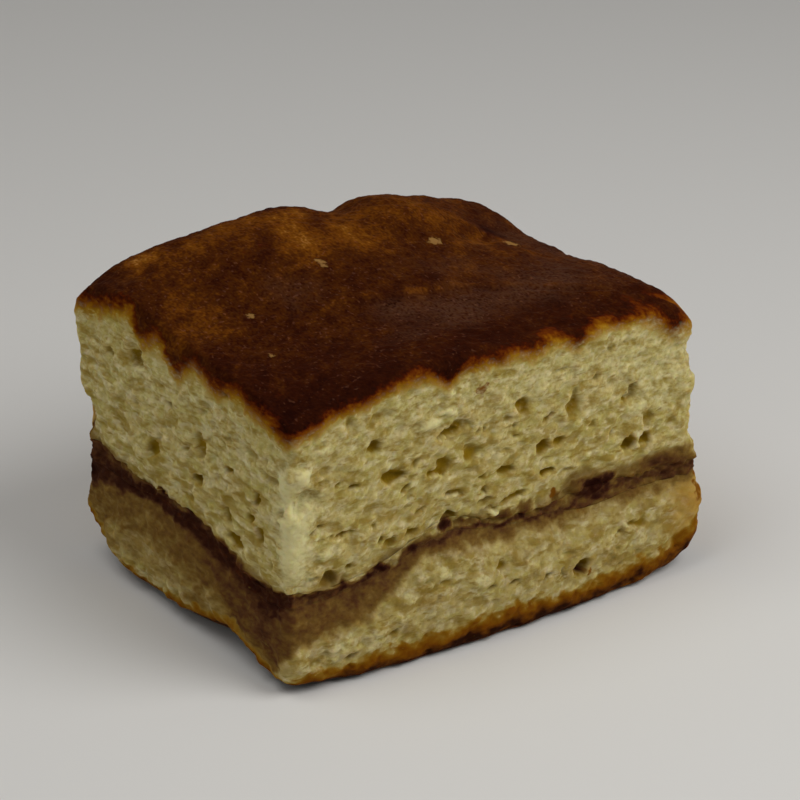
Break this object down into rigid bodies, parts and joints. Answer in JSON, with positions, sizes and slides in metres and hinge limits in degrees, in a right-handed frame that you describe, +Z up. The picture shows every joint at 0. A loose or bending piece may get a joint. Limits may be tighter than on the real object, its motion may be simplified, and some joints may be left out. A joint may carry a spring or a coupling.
{
  "type": "cinnamon coffee cake",
  "caption": "Square cut of cinnamon coffee cake: pale yellow crumb layers with a dark cinnamon ribbon between them, a domed dark brown baked top and a golden brown base.",
  "frame": {"origin": "middle of the bounding box, on the surface that the cake stands on", "axes": "+X along the wide cut face, from the narrow cut face towards the side baked against the tin; +Y from the wide cut face towards the back; +Z up"},
  "size_m": [0.074, 0.061, 0.0481],
  "materials": {
    "upper_crumb": "matte open crumb under a dark brown, faintly satin crust",
    "cinnamon_filling": "moist, dull to satin",
    "lower_crumb": "matte open crumb, dense and damp under the ribbon, golden brown base"
  },
  "bodies": {
    "root": {"upper_cake_layer": "upper_crumb", "cinnamon_ribbon": "cinnamon_filling", "lower_cake_layer": "lower_crumb"}
  },
  "joints": []
}
